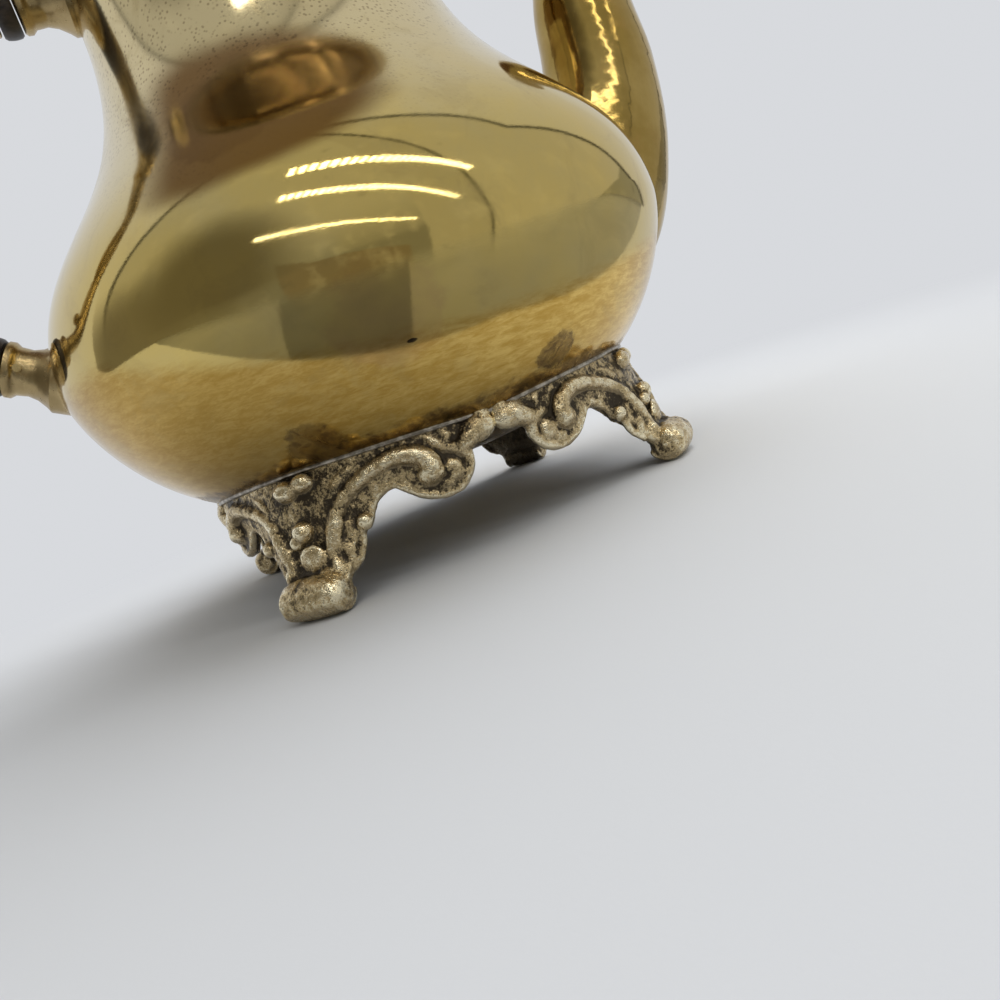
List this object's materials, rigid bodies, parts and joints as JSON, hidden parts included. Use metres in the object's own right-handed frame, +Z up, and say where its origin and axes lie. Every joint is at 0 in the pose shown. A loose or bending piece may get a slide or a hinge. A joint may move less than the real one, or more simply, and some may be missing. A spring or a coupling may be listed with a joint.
{
  "type": "teapot",
  "caption": "Bellied brass teapot on cast scroll feet, with a swelling spout, a scroll handle and a hinged domed lid with a knob.",
  "frame": {"origin": "on the table, under the axis of the round body, midway between the four feet", "axes": "+Z up along the body's axis, +X towards the spout, handle and lid hinge towards -X, +Y completes a right-handed frame"},
  "size_m": [0.2498, 0.15, 0.2159],
  "materials": {
    "body_shell": "polished, aged, lightly spotted",
    "base_disc": "plain turned",
    "mouth_rim": "polished, aged, lightly spotted",
    "spout": "polished, warm",
    "handle": "cast, dark patina in the recesses, rubbed high points",
    "handle_socket_upper": "cast, dark patina in the recesses, rubbed high points",
    "handle_socket_lower": "cast, dark patina in the recesses, rubbed high points",
    "heat_break_upper": "matt dark fibre insulator",
    "heat_break_lower": "matt dark fibre insulator",
    "pin_upper_socket": "plain turned",
    "pin_upper_ferrule": "plain turned",
    "pin_lower_socket": "plain turned",
    "pin_lower_ferrule": "plain turned",
    "lid_dome": "polished, aged, lightly spotted",
    "lid_bezel": "polished, aged, lightly spotted",
    "knob": "cast, dark patina in the recesses, rubbed high points",
    "knob_washer": "plain turned",
    "knob_nut": "plain turned",
    "hinge_bracket": "plain turned",
    "hinge_leaf": "plain turned",
    "hinge_pin": "plain turned",
    "foot_spout_far": "cast, dark patina in the recesses, rubbed high points",
    "foot_handle_far": "cast, dark patina in the recesses, rubbed high points",
    "foot_handle_near": "cast, dark patina in the recesses, rubbed high points",
    "foot_spout_near": "cast, dark patina in the recesses, rubbed high points"
  },
  "bodies": {
    "pot": {"body_shell": "body_shell", "base_disc": "base_disc", "mouth_rim": "mouth_rim", "spout": "spout", "handle": "handle", "handle_socket_upper": "handle_socket_upper", "handle_socket_lower": "handle_socket_lower", "heat_break_upper": "heat_break_upper", "heat_break_lower": "heat_break_lower", "pin_upper_socket": "pin_upper_socket", "pin_upper_ferrule": "pin_upper_ferrule", "pin_lower_socket": "pin_lower_socket", "pin_lower_ferrule": "pin_lower_ferrule", "hinge_bracket": "hinge_bracket", "hinge_pin": "hinge_pin", "foot_spout_far": "foot_spout_far", "foot_handle_far": "foot_handle_far", "foot_handle_near": "foot_handle_near", "foot_spout_near": "foot_spout_near"},
    "lid": {"lid_dome": "lid_dome", "lid_bezel": "lid_bezel", "knob": "knob", "knob_washer": "knob_washer", "knob_nut": "knob_nut", "hinge_leaf": "hinge_leaf"}
  },
  "joints": [
    {"name": "lid_hinge", "type": "hinge", "parent": "pot", "child": "lid", "pos_m": [-0.0506, 0, 0.1633], "axis": [0, -1, 0], "range_deg": [0, 105]}
  ]
}
